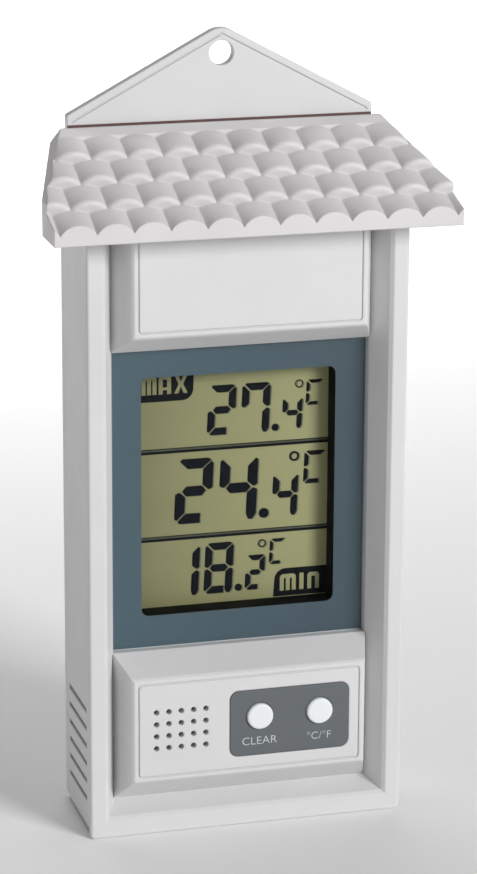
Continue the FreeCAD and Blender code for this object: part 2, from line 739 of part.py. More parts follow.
def display_panel():
    """Two glass plates with a polarising film on each side."""
    middle = D.glass_front - D.glass_thick
    back = middle - D.glass_thick
    front_plate = box("FrontGlass", -D.glass_half, D.glass_half, middle, D.glass_front,
                      D.glass_low, D.glass_high)
    rear_plate = box("RearGlass", -D.glass_half, D.glass_half, back, middle - D.hair,
                     D.glass_low + D.contact_ledge, D.glass_high - D.contact_ledge)
    grouped("display_glass", [front_plate, rear_plate])
    edge = D.glass_half - 0.6
    low = D.glass_low + D.contact_ledge + 0.3
    high = D.glass_high - D.contact_ledge - 0.3
    for label, start in (("front_polariser", D.glass_front),
                         ("rear_reflector", back - D.film_thick)):
        body = new_body(label)
        add_pad(body, rectangle(edge, low, high), start, start + D.film_thick)


def connector_strips():
    """Elastomer strips that carry the signals from the board to the glass."""
    rear = D.board_front + D.solder_gap
    front = D.glass_front - D.glass_thick - D.solder_gap
    low_strip = D.glass_low + D.play
    high_strip = D.glass_high - D.zebra_wide - D.play
    for label, low in (("connector_strip_lower", low_strip),
                       ("connector_strip_upper", high_strip)):
        body = new_body(label)
        add_pad(body, rectangle(D.glass_half - 1.5, low, low + D.zebra_wide), rear, front)


# ---------------------------------------------------------------- circuit board

def circuit_board():
    body = new_body("circuit_board")
    back = D.board_front - D.board_thick
    add_pad(body, rectangle(D.board_half, D.board_low, D.board_high), back, D.board_front)
    add_pocket(body, circles(BOARD_POSTS, D.board_bore), back, D.board_front)


def chip_drop():
    """Round drop of resin over the bare chip, on the back of the board."""
    back = D.board_front - D.board_thick - D.solder_gap
    drop = new_body("chip_drop")
    add_pad(drop, circles([(0, D.drop_high)], D.drop_radius), back - D.drop_tall, back)
    doc.recompute()
    rearmost = drop.Tip.Shape.BoundBox.YMax

    def rear_rim(box):
        return box.YLength < 1e-6 and box.YMax > rearmost - 1e-6
    fillet_edges(drop, D.drop_tall * 0.9, rear_rim)


def board_chips():
    """Quartz can and the small chips on the back of the board."""
    back = D.board_front - D.board_thick - D.solder_gap
    quartz = crossbar("QuartzCan", D.quartz_radius, D.quartz_left,
                      D.quartz_left + D.quartz_long, back - D.quartz_radius - D.solder_gap,
                      D.quartz_high)
    grouped("quartz_crystal", [quartz])
    corners = [(D.chip_left + column * D.chip_pitch, D.chip_low)
               for column in range(LOWER_CHIPS)]
    corners += [(D.side_chip_left, D.side_chip_low + row * D.side_chip_pitch)
                for row in range(SIDE_CHIPS)]
    chips = [box("Chip%d" % i, left, left + D.chip_long, back - D.chip_tall, back,
                 low, low + D.chip_wide)
             for i, (left, low) in enumerate(corners)]
    grouped("board_chips", chips)


def thermistor():
    """Bead behind the grille with its two leads to the board."""
    bead_depth = D.block_depth - D.wall - D.bead_behind
    up = D.vent_high - D.vent_pitch * (GRILLE_ROWS - 1) * 0.5
    bead = doc.addObject("Part::Sphere", "Bead")
    bead.setExpression("Radius", D.bead_radius.text)
    bead.setExpression("Placement.Base.x", D.vent_side.text)
    bead.setExpression("Placement.Base.y", (-bead_depth).text)
    bead.setExpression("Placement.Base.z", up.text)
    spread = D.bead_radius * 0.55
    leads = [rod("Lead%d" % i, D.bead_lead, D.vent_side, up + side * spread,
                 D.board_front + D.solder_gap, bead_depth)
             for i, side in enumerate((-1, 1))]
    fused("thermistor", [bead] + leads)


def screw(name, place, head, shank, back, head_thick, end):
    """Self-tapping screw: a slotted thin head with a plain shank ahead of it."""
    across, up = place
    cap = rod(name + "Head", head, across, up, back, back + head_thick)
    stem = rod(name + "Shank", shank, across, up, back, end)
    union = doc.addObject("Part::MultiFuse", name)
    union.Shapes = [cap, stem]
    reach, half = head * 0.7, D.drive_wide * 0.5
    drive = box(name + "Drive", across - reach, across + reach,
                back, back + head_thick * 0.4, up - half, up + half)
    slotted = doc.addObject("Part::Cut", name + "Slotted")
    slotted.Base = union
    slotted.Tool = drive
    return slotted


def fasteners():
    """Screws of the rear cover, of the roof and of the circuit board."""
    back = as_size(0)
    cover = [screw("CoverScrew%d" % i, place, D.head_radius, D.screw_radius,
                   back, D.head_thick, D.ledge_depth - D.screw_point_gap)
             for i, place in enumerate(COVER_SCREWS)]
    grouped("cover_screws", cover)
    roof = [screw("RoofScrew%d" % i, place, D.head_radius, D.screw_radius,
                  back, D.head_thick, D.ridge_back + D.roof_screw_long)
            for i, place in enumerate(ROOF_SCREWS)]
    grouped("roof_screws", roof)
    seat = D.board_front - D.board_thick - D.solder_gap
    board = [screw("BoardScrew%d" % i, place, D.board_head_radius, D.board_bore - 0.2,
                   seat - D.board_head_thick, D.board_head_thick,
                   D.board_front + D.board_screw_long)
             for i, place in enumerate(BOARD_POSTS)]
    grouped("board_screws", board)


# ---------------------------------------------------------------- buttons

def control_label():
    half = (D.label_right - D.label_left) * 0.5
    middle = (D.label_right + D.label_left) * 0.5
    back = D.block_depth - D.label_thick + D.label_proud + D.hair
    body = rounded_plate("control_label", half, D.label_low, D.label_high,
                         D.label_corner, back, D.block_depth + D.label_proud, middle)
    add_pocket(body, circles(BUTTON_PLACES, D.button_radius + D.play),
               back, D.block_depth + D.label_proud)


def push_button(label, across):
    """Cap with a retaining flange and a long stem down to its switch."""
    face = D.block_depth + D.button_proud
    flange_front = D.block_depth - D.wall - D.slack
    flange_back = flange_front - D.button_flange_thick
    stem_end = D.board_front + D.switch_tall + D.plunger_tall + D.stem_gap
    cap = rod(label + "Cap", D.button_radius, across, D.button_high, flange_back, face)
    rounded = doc.addObject("Part::Fillet", label + "Rounded")
    rounded.Base = cap
    doc.recompute()
    front = cap.Shape.BoundBox.YMin
    rim = [i for i, edge in enumerate(cap.Shape.Edges, start=1)
           if edge.Closed and edge.BoundBox.YMax < front + 1e-6]
    radius = D.button_edge.number
    rounded.Edges = [(i, radius, radius) for i in rim]
    flange = rod(label + "Flange", D.button_flange, across, D.button_high,
                 flange_back, flange_front)
    stem = rod(label + "Stem", D.button_stem, across, D.button_high,
               stem_end, flange_back)
    fused(label, [rounded, flange, stem])


def tact_switch(label, across):
    """Switch case on the board and the plunger that the button pushes."""
    back = D.board_front + D.solder_gap
    front = D.board_front + D.switch_tall
    half = D.switch_half
    case = new_body(label)
    add_pad(case, rectangle(half, D.button_high - half, D.button_high + half, across),
            back, front)
    well = front - D.plunger_tall
    add_pocket(case, circles([(across, D.button_high)], D.plunger_radius + 0.08),
               well, front)
    plunger = rod(label + "Plunger", D.plunger_radius, across, D.button_high,
                  well + D.button_travel + D.slack, front + D.plunger_tall)
    grouped(label + "_plunger", [plunger])


# ---------------------------------------------------------------- battery

def battery_cell():
    """AAA cell lying across the bay, positive end to the right."""
    right = D.bay_half - 0.6
    left = right - D.cell_long
    depth = D.bay_depth - D.cell_radius - 0.3
    up = (D.bay_low + D.bay_high) * 0.5
    can = crossbar("Can", D.cell_radius, left, right - D.nub_long, depth, up)
    nub = crossbar("Nub", D.nub_radius, right - D.nub_long, right, depth, up)
    fused("battery_cell", [can, nub])


def battery_contacts():
    """Plate for the positive end; plate with a coil for the negative end."""
    depth = D.bay_depth - D.cell_radius - 0.3
    up = (D.bay_low + D.bay_high) * 0.5
    reach = D.contact_reach
    back, front = depth - reach, depth + reach
    low, high = up - reach, up + reach
    outer = D.bay_half - D.slack
    inner = outer - D.contact_thick
    plate = box("PositivePlate", inner, outer, back, front, low, high)
    dimple = crossbar("Dimple", D.nub_radius - 0.4, inner - D.dimple_tall, inner,
                      depth, up)
    fused("contact_positive", [plate, dimple])
    plate = box("NegativePlate", -outer, -inner, back, front, low, high)
    coil_long = as_size(D.bay_half * 2 - D.cell_long - 1.2 - D.contact_thick - D.play)
    helix = doc.addObject("Part::Helix", "CoilPath")
    helix.Placement.Rotation = ALONG_X
    helix.setExpression("Radius", (D.coil_radius - D.wire_radius).text)
    helix.setExpression("Height", (coil_long - D.wire_radius * 2 + D.play).text)
    helix.setExpression("Pitch", D.coil_pitch.text)
    helix.setExpression("Placement.Base.x", (-inner + D.wire_radius - D.play).text)
    helix.setExpression("Placement.Base.y", (-depth).text)
    helix.setExpression("Placement.Base.z", up.text)
    wire = doc.addObject("Part::Circle", "CoilWire")
    wire.setExpression("Radius", D.wire_radius.text)
    doc.recompute()
    start = helix.Shape.Edges[0]
    tangent = start.tangentAt(start.FirstParameter)
    wire.Placement = FreeCAD.Placement(
        start.valueAt(start.FirstParameter),
        FreeCAD.Rotation(FreeCAD.Vector(0, 0, 1), tangent))
    coil = doc.addObject("Part::Sweep", "Coil")
    coil.Sections = [wire]
    coil.Spine = helix
    coil.Solid = True
    coil.Frenet = True
    fused("contact_negative", [plate, coil])


def battery_door():
    """Door on two pins at its lower edge; the edge is round about the pins."""
    half, thick = D.door_half, D.door_thick
    back = D.hinge_depth - thick * 0.5
    front = D.hinge_depth + thick * 0.5
    plate = box("DoorPlate", -half, half, back, front, D.hinge_high, D.door_high)
    edge = crossbar("DoorEdge", thick * 0.5, -half, half, D.hinge_depth, D.hinge_high)
    reach = half + D.pin_long
    pins = crossbar("DoorPins", D.pin_radius, -reach, reach, D.hinge_depth, D.hinge_high)
    whole = doc.addObject("Part::MultiFuse", "DoorWhole")
    whole.Shapes = [plate, edge, pins]
    nail = []
    for i in range(NAIL_GROOVES):
        high = D.door_high - D.nail_top - i * D.nail_pitch
        nail.append(box("NailGroove%d" % i, -D.nail_half, D.nail_half,
                        back, back + D.nail_deep, high - D.nail_tall, high))
    grooves = doc.addObject("Part::MultiFuse", "NailGrooves")
    grooves.Shapes = nail
    door = doc.addObject("Part::Cut", "battery_door")
    door.Base = whole
    door.Tool = grooves
    finish_subpart(door, "battery_door")


def battery_leads():
    """Insulated wires from the two contacts to the top of the board."""
    for label, side in (("lead_positive", 1), ("lead_negative", -1)):
        points = [(D.bay_outer_half.number - 3.2, 9.5, D.bay_outer_low.number - D.play.number),
                  (D.bay_outer_half.number - 3.4, 9.5, D.bay_outer_low.number - 0.9),
                  (21.0, 9.4, 94.4), (18.5, 8.6, 94.2),
                  (18.0, D.board_front.number + D.solder_gap.number, 94.2)]
        path = Part.BSplineCurve()
        path.interpolate([FreeCAD.Vector(side * across, -depth, up)
                          for across, depth, up in points])
        spine = Part.Wire(path.toShape())
        normal = path.tangent(path.FirstParameter)[0]
        section = Part.Wire(Part.makeCircle(D.lead_radius.number,
                                            path.value(path.FirstParameter), normal))
        lead = doc.addObject("Part::Feature", label)
        lead.Shape = spine.makePipeShell([section], True, True)
        finish_subpart(lead, label)


# ---------------------------------------------------------------- build and write

def build():
    front_housing()
    rear_cover()
    roof_shell()
    window_parts()
    display_bezel()
    display_panel()
    connector_strips()
    circuit_board()
    chip_drop()
    board_chips()
    thermistor()
    control_label()
    push_button("clear_button", D.clear_side)
    push_button("unit_button", D.unit_side)
    tact_switch("clear_switch", D.clear_side)
    tact_switch("unit_switch", D.unit_side)
    battery_cell()
    battery_contacts()
    battery_door()
    battery_leads()
    fasteners()


def write_parts():
    os.makedirs("parts", exist_ok=True)
    for piece in subparts:
        shape = piece.Shape
        if shape.isNull() or not shape.isValid():
            raise ValueError("bad shape: " + piece.Label)
        shape.exportStep("parts/%s.step" % piece.Label)
        print("%-24s %9.2f mm3, %d solids" % (piece.Label, shape.Volume, len(shape.Solids)))


build()
doc.recompute()
for item in doc.Objects:
    if "Invalid" in item.State or "Error" in item.State:
        raise ValueError("not computed: %s %s" % (item.Name, item.State))
write_parts()
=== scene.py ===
import math

import bmesh
import bpy
from mathutils import Matrix, Vector


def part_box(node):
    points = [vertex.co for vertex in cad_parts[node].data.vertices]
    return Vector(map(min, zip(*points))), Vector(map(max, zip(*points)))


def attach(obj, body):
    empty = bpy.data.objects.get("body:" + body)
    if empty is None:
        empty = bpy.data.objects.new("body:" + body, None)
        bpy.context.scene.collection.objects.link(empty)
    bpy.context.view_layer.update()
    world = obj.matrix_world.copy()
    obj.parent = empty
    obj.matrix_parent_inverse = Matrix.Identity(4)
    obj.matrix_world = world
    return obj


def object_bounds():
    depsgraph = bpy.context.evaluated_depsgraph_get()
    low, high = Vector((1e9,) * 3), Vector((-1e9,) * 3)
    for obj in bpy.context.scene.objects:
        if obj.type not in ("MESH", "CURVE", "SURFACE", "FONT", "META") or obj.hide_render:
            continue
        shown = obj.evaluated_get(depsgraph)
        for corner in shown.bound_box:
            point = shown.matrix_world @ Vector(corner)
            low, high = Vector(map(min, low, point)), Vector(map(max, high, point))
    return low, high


# Maximum and minimum thermometer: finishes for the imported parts, the characters of
# the display and of the control label, a pale floor, soft lights and the camera.
# Everything is in metres. +Z is up and the front faces -Y.

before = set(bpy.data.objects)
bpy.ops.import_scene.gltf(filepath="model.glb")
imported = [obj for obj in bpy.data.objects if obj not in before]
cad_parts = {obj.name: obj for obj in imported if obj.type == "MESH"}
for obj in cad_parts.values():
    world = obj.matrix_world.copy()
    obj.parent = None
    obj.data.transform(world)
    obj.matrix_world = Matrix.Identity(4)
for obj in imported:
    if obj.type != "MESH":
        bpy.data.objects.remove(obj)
CAD_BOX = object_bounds()
MM = 0.001
FLOOR = CAD_BOX[0].z
GABLE_FACE = -2.0 * MM


# ---------------------------------------------------------------- colours and looks

def srgb(red, green, blue):
    """Linear colour of a screen colour given as 0 to 255."""
    def linear(part):
        part /= 255
        return part / 12.92 if part <= 0.04045 else ((part + 0.055) / 1.055) ** 2.4
    return (linear(red), linear(green), linear(blue), 1.0)


def scaled(colour, factor):
    return tuple(min(part * factor, 1.0) for part in colour[:3]) + (1.0,)


class Look:
    """A node material built round its Principled shader, in object coordinates."""

    def __init__(self, name, roughness=0.5, metallic=0.0):
        self.material = bpy.data.materials.new(name + "_look")
        self.material.use_nodes = True
        self.tree = self.material.node_tree
        self.shader = self.tree.nodes["Principled BSDF"]
        self.set("Roughness", roughness)
        self.set("Metallic", metallic)
        self.place = self.node("TexCoord").outputs["Object"]
        self.edges = None

    def node(self, kind):
        return self.tree.nodes.new("ShaderNode" + kind)

    def join(self, source, target):
        self.tree.links.new(source, target)

    def set(self, socket, value):
        self.shader.inputs[socket].default_value = value
        return self

    def stretched(self, stretch):
        """Object coordinates, scaled by stretch along each axis."""
        mapping = self.node("Mapping")
        mapping.inputs["Scale"].default_value = stretch
        self.join(self.place, mapping.inputs["Vector"])
        return mapping.outputs["Vector"]

    def noise(self, size, detail=3.0, stretch=(1, 1, 1)):
        """Noise whose features are about size metres across."""
        noise = self.node("TexNoise")
        noise.inputs["Scale"].default_value = 1 / size
        noise.inputs["Detail"].default_value = detail
        self.join(self.stretched(stretch), noise.inputs["Vector"])
        return noise.outputs["Fac"]

    def spread(self, value, low, high, start=0.35, end=0.65):
        """Map value from start..end to low..high."""
        spread = self.node("MapRange")
        for socket, number in (("From Min", start), ("From Max", end),
                               ("To Min", low), ("To Max", high)):
            spread.inputs[socket].default_value = number
        self.join(value, spread.inputs["Value"])
        return spread.outputs["Result"]

    def mixed(self, factor, first, second):
        """Colour between first and second; each is a colour or a socket."""
        mix = self.node("Mix")
        mix.data_type = "RGBA"
        self.join(factor, mix.inputs[0])
        for socket, colour in ((mix.inputs[6], first), (mix.inputs[7], second)):
            if isinstance(colour, tuple):
                socket.default_value = colour
            else:
                self.join(colour, socket)
        return mix.outputs[2]

    def paint(self, colour, contrast=0.05, size=8 * MM, stretch=(1, 1, 1)):
        """Base colour with a soft cloudy variation."""
        cloud = self.spread(self.noise(size, 4.0, stretch), 0.0, 1.0)
        mottled = self.mixed(cloud, scaled(colour, 1 - contrast),
                             scaled(colour, 1 + contrast))
        self.join(mottled, self.shader.inputs["Base Color"])
        return self

    def gloss(self, low, high, size=3 * MM, stretch=(1, 1, 1)):
        """Roughness that wanders between low and high."""
        value = self.spread(self.noise(size, 3.0, stretch), low, high)
        self.join(value, self.shader.inputs["Roughness"])
        return self

    def soften(self, radius):
        """Shade the edges as if they were rounded to the given radius."""
        bevel = self.node("Bevel")
        bevel.samples = 6
        bevel.inputs["Radius"].default_value = radius
        self.edges = bevel.outputs["Normal"]
        return self

    def relief(self, size, depth, strength=0.5, stretch=(1, 1, 1)):
        """Fine bump of the given grain size and depth, over any softened edges."""
        bump = self.node("Bump")
        if self.edges:
            self.join(self.edges, bump.inputs["Normal"])
        bump.inputs["Strength"].default_value = strength
        bump.inputs["Distance"].default_value = depth
        self.join(self.noise(size, 4.0, stretch), bump.inputs["Height"])
        self.join(bump.outputs["Normal"], self.shader.inputs["Normal"])
        return self

    def along(self, axis):
        """The object coordinate along one axis, in metres."""
        split = self.node("SeparateXYZ")
        self.join(self.place, split.inputs["Vector"])
        return split.outputs[axis]

    def paint_bands(self, axis, bands):
        """Bands of colour across one axis; bands is [(where each starts, colour)]."""
        where = self.along(axis)
        colour = bands[0][1]
        for start, following in bands[1:]:
            above = self.node("Math")
            above.operation = "GREATER_THAN"
            above.inputs[1].default_value = start
            self.join(where, above.inputs[0])
            colour = self.mixed(above.outputs["Value"], colour, following)
        self.join(colour, self.shader.inputs["Base Color"])
        return self


def moulded(name, colour, low=0.42, high=0.52, contrast=0.018):
    """Moulded plastic with a fine spark-eroded grain."""
    look = Look(name).paint(colour, contrast, 14 * MM).gloss(low, high, 4 * MM)
    return look.soften(0.4 * MM).relief(0.28 * MM, 0.012 * MM, 0.35)


def cover_plastic():
    """Moulded plastic with a painted shadow line where the ridge of the roof meets its
    front.
    """
    look = moulded("cover_plastic", srgb(218, 217, 218))
    # painted shadow: a reddish-brown band at the ridge height stands in for the shade in
    # the narrow gap behind the ridge
    ridge_shadow_band = look.node("Math")
    ridge_shadow_band.operation = "COMPARE"
    look.join(look.along("Z"), ridge_shadow_band.inputs[0])
    ridge_shadow_band.inputs[1].default_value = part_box("roof_shell")[1].z
    ridge_shadow_band.inputs[2].default_value = 0.32 * MM
    front = look.node("Math")
    front.operation = "LESS_THAN"
    look.join(look.along("Y"), front.inputs[0])
    front.inputs[1].default_value = GABLE_FACE + 0.1 * MM
    line = look.node("Math")
    line.operation = "MULTIPLY"
    look.join(ridge_shadow_band.outputs["Value"], line.inputs[0])
    look.join(front.outputs["Value"], line.inputs[1])
    plain = look.shader.inputs["Base Color"].links[0].from_socket
    # painted shadow colour mixed into the gable front along that band
    look.join(look.mixed(line.outputs["Value"], plain, srgb(104, 74, 74)),
              look.shader.inputs["Base Color"])
    return look


def metal(name, colour, roughness, stretch=(1, 1, 1)):
    """Plated metal with faint drawing marks."""
    look = Look(name, metallic=1.0).paint(colour, 0.06, 2 * MM, stretch)
    look.gloss(roughness * 0.8, roughness * 1.25, 0.8 * MM, stretch)
    return look.relief(0.15 * MM, 0.004 * MM, 0.3, stretch)


def clear_pane(name):
    """Clear plastic: its outer faces mirror by angle, everything else goes through."""
    look = Look(name)
    look.tree.nodes.remove(look.shader)
    mirror = look.node("BsdfGlossy")
    mirror.inputs["Color"].default_value = (1.0, 1.0, 1.0, 1.0)
    look.join(look.spread(look.noise(6 * MM), 0.02, 0.06), mirror.inputs["Roughness"])
    through = look.node("BsdfTransparent")
    through.inputs["Color"].default_value = (0.955, 0.965, 0.965, 1.0)
    fresnel = look.node("Fresnel")
    fresnel.inputs["IOR"].default_value = 1.12
    outside = look.node("Math")
    outside.operation = "SUBTRACT"
    outside.use_clamp = True
    look.join(fresnel.outputs["Fac"], outside.inputs[0])
    look.join(look.node("NewGeometry").outputs["Backfacing"], outside.inputs[1])
    mix = look.node("MixShader")
    look.join(outside.outputs["Value"], mix.inputs["Fac"])
    look.join(through.outputs["BSDF"], mix.inputs[1])
    look.join(mirror.outputs["BSDF"], mix.inputs[2])
    output = look.tree.nodes["Material Output"]
    look.join(mix.outputs["Shader"], output.inputs["Surface"])
    return look


def window_print():
    """Slate-blue ink printed behind the window, with painted shade that darkens it a little
    to the right.
    """
    look = Look("window_print", 0.4)
    # painted shade: the print colour darkens from left to right
    across = look.spread(look.along("X"), 0.0, 1.0, -25 * MM, 25 * MM)
    shade = look.mixed(across, srgb(75, 98, 109), srgb(64, 82, 93))
    fleck = look.spread(look.noise(0.5 * MM, 2.0), 0.0, 0.25)
    look.join(look.mixed(fleck, shade, srgb(66, 86, 97)), look.shader.inputs["Base Color"])
    return look.gloss(0.3, 0.4, 2 * MM).set("Coat Weight", 0.3)


def display_film():
    """Olive face of the display, seen through its polariser, with painted light that
    brightens it to the right.
    """
    look = Look("display_film", 0.35)
    cloud = look.spread(look.noise(9 * MM, 3.0), 0.0, 1.0)
    # painted light: a left-to-right brightening that stands in for how the display catches
    # the light at an angle
    across = look.spread(look.along("X"), 0.0, 1.0, -20 * MM, 20 * MM)
    left = look.mixed(cloud, srgb(138, 135, 95), srgb(144, 140, 99))
    base = look.mixed(across, left, srgb(180, 177, 127))
    grain = look.spread(look.noise(0.18 * MM, 2.0), 0.0, 0.3)
    look.join(look.mixed(grain, base, srgb(132, 129, 92)), look.shader.inputs["Base Color"])
    return look.gloss(0.3, 0.45, 1.5 * MM).relief(0.2 * MM, 0.004 * MM, 0.2)


def board_lacquer():
    """Solder resist with the faint relief of copper tracks beneath it."""
    look = Look("board_green", 0.35)
    tracks = look.node("TexWave")
    tracks.inputs["Scale"].default_value = 160.0
    tracks.inputs["Distortion"].default_value = 6.0
    look.join(look.stretched((1.0, 0.0, 0.6)), tracks.inputs["Vector"])
    edge = look.spread(tracks.outputs["Fac"], 0.0, 1.0, 0.62, 0.7)
    look.join(look.mixed(edge, srgb(24, 84, 52), srgb(38, 112, 66)),
              look.shader.inputs["Base Color"])
    bump = look.node("Bump")
    bump.inputs["Strength"].default_value = 0.4
    bump.inputs["Distance"].default_value = 0.035 * MM
    look.join(edge, bump.inputs["Height"])
    look.join(bump.outputs["Normal"], look.shader.inputs["Normal"])
    return look.gloss(0.25, 0.4, 2 * MM)


def cell_jacket():
    """Printed foil sleeve of the cell, bare metal at both ends."""
    left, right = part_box("battery_cell")
    bare, band = 0.8 * MM, 11 * MM
    foil = srgb(46, 60, 78)
    steel = srgb(190, 190, 186)
    bands = [(left.x, steel), (left.x + bare, foil),
             (right.x - band, srgb(178, 132, 74)), (right.x - 2 * bare, steel)]
    look = Look("cell_jacket", 0.3, 0.75).paint_bands("X", bands)
    return look.gloss(0.24, 0.36, 3 * MM).relief(0.6 * MM, 0.01 * MM, 0.25)


WHITE_PLASTIC = srgb(219, 218, 219)

LOOKS = {
    "housing_plastic": moulded("housing_plastic", WHITE_PLASTIC),
    "cover_plastic": cover_plastic(),
    "roof_plastic": moulded("roof_plastic", srgb(218, 215, 216), 0.46, 0.58, 0.025),
    "door_plastic": moulded("door_plastic", srgb(217, 216, 217)),
    "window_clear": clear_pane("window_clear"),
    "window_print": window_print(),
    "bezel_black": moulded("bezel_black", srgb(12, 12, 13), 0.6, 0.75, 0.1),
    "display_glass": clear_pane("display_glass"),
    "polariser_film": display_film(),
    "reflector_film": metal("reflector_film", srgb(176, 174, 150), 0.5),
    "connector_rubber": moulded("connector_rubber", srgb(214, 120, 146), 0.6, 0.75, 0.08),
    "board_green": board_lacquer(),
    "resin_black": moulded("resin_black", srgb(22, 22, 24), 0.25, 0.4, 0.15),
    "crystal_can": metal("crystal_can", srgb(196, 196, 192), 0.3, (0.2, 1, 1)),
    "chip_body": moulded("chip_body", srgb(120, 96, 70), 0.4, 0.55, 0.12),
    "thermistor_resin": moulded("thermistor_resin", srgb(30, 30, 34), 0.3, 0.45, 0.15),
    "label_grey": moulded("label_grey", srgb(97, 102, 105), 0.5, 0.6, 0.03),
    "button_white": moulded("button_white", srgb(236, 240, 241), 0.34, 0.44, 0.01),
    "switch_case": moulded("switch_case", srgb(34, 34, 36), 0.45, 0.6, 0.12),
    "switch_plunger": moulded("switch_plunger", srgb(198, 196, 190), 0.4, 0.5, 0.05),
    "cell_jacket": cell_jacket(),
    "contact_steel": metal("contact_steel", srgb(198, 198, 194), 0.28),
    "lead_red": moulded("lead_red", srgb(170, 34, 30), 0.4, 0.55, 0.08),
    "lead_black": moulded("lead_black", srgb(28, 28, 30), 0.4, 0.55, 0.1),
    "screw_steel": metal("screw_steel", srgb(176, 176, 174), 0.35),
}
LOOKS["bezel_black"].set("Specular IOR Level", 0.08)
INK = Look("display_ink").paint(srgb(9, 13, 20), 0.2, 1.2 * MM).gloss(0.5, 0.7)
INK.set("Specular IOR Level", 0.15)
SHADE = Look("display_shade", 0.45).paint(srgb(112, 111, 84), 0.04, 2 * MM)
RULE_SHADE = Look("display_rule_shade", 0.45).paint(srgb(76, 76, 60), 0.06, 2 * MM)
PRINT = Look("label_print").paint(srgb(204, 208, 210), 0.05, 2 * MM).gloss(0.5, 0.6)


def dress_cad_nodes():
    """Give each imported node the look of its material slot."""
    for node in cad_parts.values():
        slot = node.data.materials[0].name
        node.data.materials[0] = LOOKS[slot].material


# ---------------------------------------------------------------- flat artwork

def add_plate(mesh, outline, front, thickness):
    """Closed thin plate of the (across, up) outline, its face at y = front."""
    face = [mesh.verts.new((across, front, up)) for across, up in outline]
    back = [mesh.verts.new((across, front + thickness, up)) for across, up in outline]
    mesh.faces.new(face)
    mesh.faces.new(reversed(back))
    for i in range(len(face)):
        j = (i + 1) % len(face)
        mesh.faces.new((face[i], back[i], back[j], face[j]))


def artwork(name, outlines, front, thickness, look, body="case"):
    """One piece made of flat plates, riding on a body."""
    mesh = bmesh.new()
    for outline in outlines:
        add_plate(mesh, outline, front, thickness)
    bmesh.ops.recalc_face_normals(mesh, faces=mesh.faces)
    data = bpy.data.meshes.new(name)
    mesh.to_mesh(data)
    mesh.free()
    data.materials.append(look.material)
    piece = bpy.data.objects.new(name, data)
    bpy.context.scene.collection.objects.link(piece)
    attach(piece, body)
    return piece


def arc(across, up, radius, start, end, steps=12):
    """Points of an arc about (across, up), angles in degrees."""
    return [(across + radius * math.cos(math.radians(start + (end - start) * i / steps)),
             up + radius * math.sin(math.radians(start + (end - start) * i / steps)))
            for i in range(steps + 1)]


def disc(across, up, radius):
    return arc(across, up, radius, 0, 345, 23)


def rectangle(left, right, low, high):
    return [(left, low), (right, low), (right, high), (left, high)]


def ring_segments(across, up, radius, width, parts=4):
    """A ring, cut into arcs so that each one is a simple outline."""
    turn = 360 / parts
    return [arc(across, up, radius, i * turn, (i + 1) * turn)
            + arc(across, up, radius - width, (i + 1) * turn, i * turn)
            for i in range(parts)]


SEGMENTS = {"0": "abcdef", "1": "bc", "2": "abdeg", "4": "bcfg", "7": "abcf",
            "8": "abcdefg", "C": "adef"}
SLANT = 0.045
SEGMENT_GAP = 0.22
MITRE, SHOULDER, NECK = 0.55, 0.4, 0.2      # parts of a stroke, at a segment's ends
FOOT_START, FOOT_END = 0.35, 0.75           # flat end of the lower right segment
BAR_GAP, LEG_GAP, NECK_GAP = 0.6, 0.7, 0.5  # parts of the gap, round the middle bar


def bar_shapes(width, height, stroke):
    """The three level segments: top, middle and bottom."""
    gap = SEGMENT_GAP
    cut, half, middle = stroke * MITRE, stroke / 2, height / 2
    left, right = stroke + gap, width - stroke - gap
    near = (cut - gap) / 2
    top = [(cut, height), (width - cut, height), (width - near, height - near),
           (right, height - stroke), (left, height - stroke),
           ((cut + gap) / 2, height - near)]
    tip = cut + gap
    left_end, right_end = stroke + gap * BAR_GAP, width - stroke - gap * BAR_GAP
    bar = [(tip, middle), (left_end, middle + half), (right_end, middle + half),
           (width - tip, middle), (right_end, middle - half), (left_end, middle - half)]
    bottom = [(cut, 0), (right, 0), (right, stroke), (left, stroke),
              ((cut + gap) / 2, near)]
    return top, bar, bottom


def leg_shapes(width, height, stroke):
    """The upper left segment, and the lower right one with its narrow foot."""
    gap = SEGMENT_GAP
    cut, half, middle = stroke * MITRE, stroke / 2, height / 2
    clear, neck = gap * LEG_GAP, gap * NECK_GAP
    side = [(0, height - cut), ((cut - gap) / 2, height - (cut + gap) / 2),
            (stroke, height - stroke - gap), (stroke, middle + half + clear),
            (stroke * SHOULDER, middle + neck), (0, middle + neck + stroke * NECK)]
    inner = width - stroke
    foot = [(width, cut), (width - stroke * FOOT_START, 0),
            (width - stroke * FOOT_END, 0), (inner, cut),
            (inner, middle - half - clear), (width - stroke * SHOULDER, middle - neck),
            (width, middle - neck - stroke * NECK)]
    return side, foot


def segment_shapes(width, height, stroke):
    """Outlines of the seven segments in a cell of the given size."""
    top, bar, bottom = bar_shapes(width, height, stroke)
    side, foot = leg_shapes(width, height, stroke)

    def flipped(outline):
        return [(across, height - up) for across, up in outline]

    def mirrored(outline):
        return [(width - across, up) for across, up in outline]

    return {"a": top, "d": bottom, "g": bar, "f": side, "e": flipped(side),
            "b": mirrored(side), "c": foot}


def character(symbol, left, low, width, height, stroke):
    """Slanted outlines of one seven-segment character, in metres."""
    shapes = segment_shapes(width, height, stroke)
    return [[((left + across + up * SLANT) * MM, FLOOR + (low + up) * MM)
             for across, up in shapes[segment]] for segment in SEGMENTS[symbol]]


def placed(outline):
    """An outline given in millimetres above the bottom edge, in metres."""
    return [(across * MM, FLOOR + up * MM) for across, up in outline]


def moved(outline, across, up):
    return [(x + across * MM, z + up * MM) for x, z in outline]


def reading(digits, dot, ring):
    """Outlines of one line of the display: digits, decimal point and degree ring."""
    outlines = []
    for symbol, left, low, width, height, stroke in digits:
        outlines += character(symbol, left, low, width, height, stroke)
    outlines.append(placed(disc(*dot)))
    outlines += [placed(part) for part in ring_segments(*ring)]
    return outlines


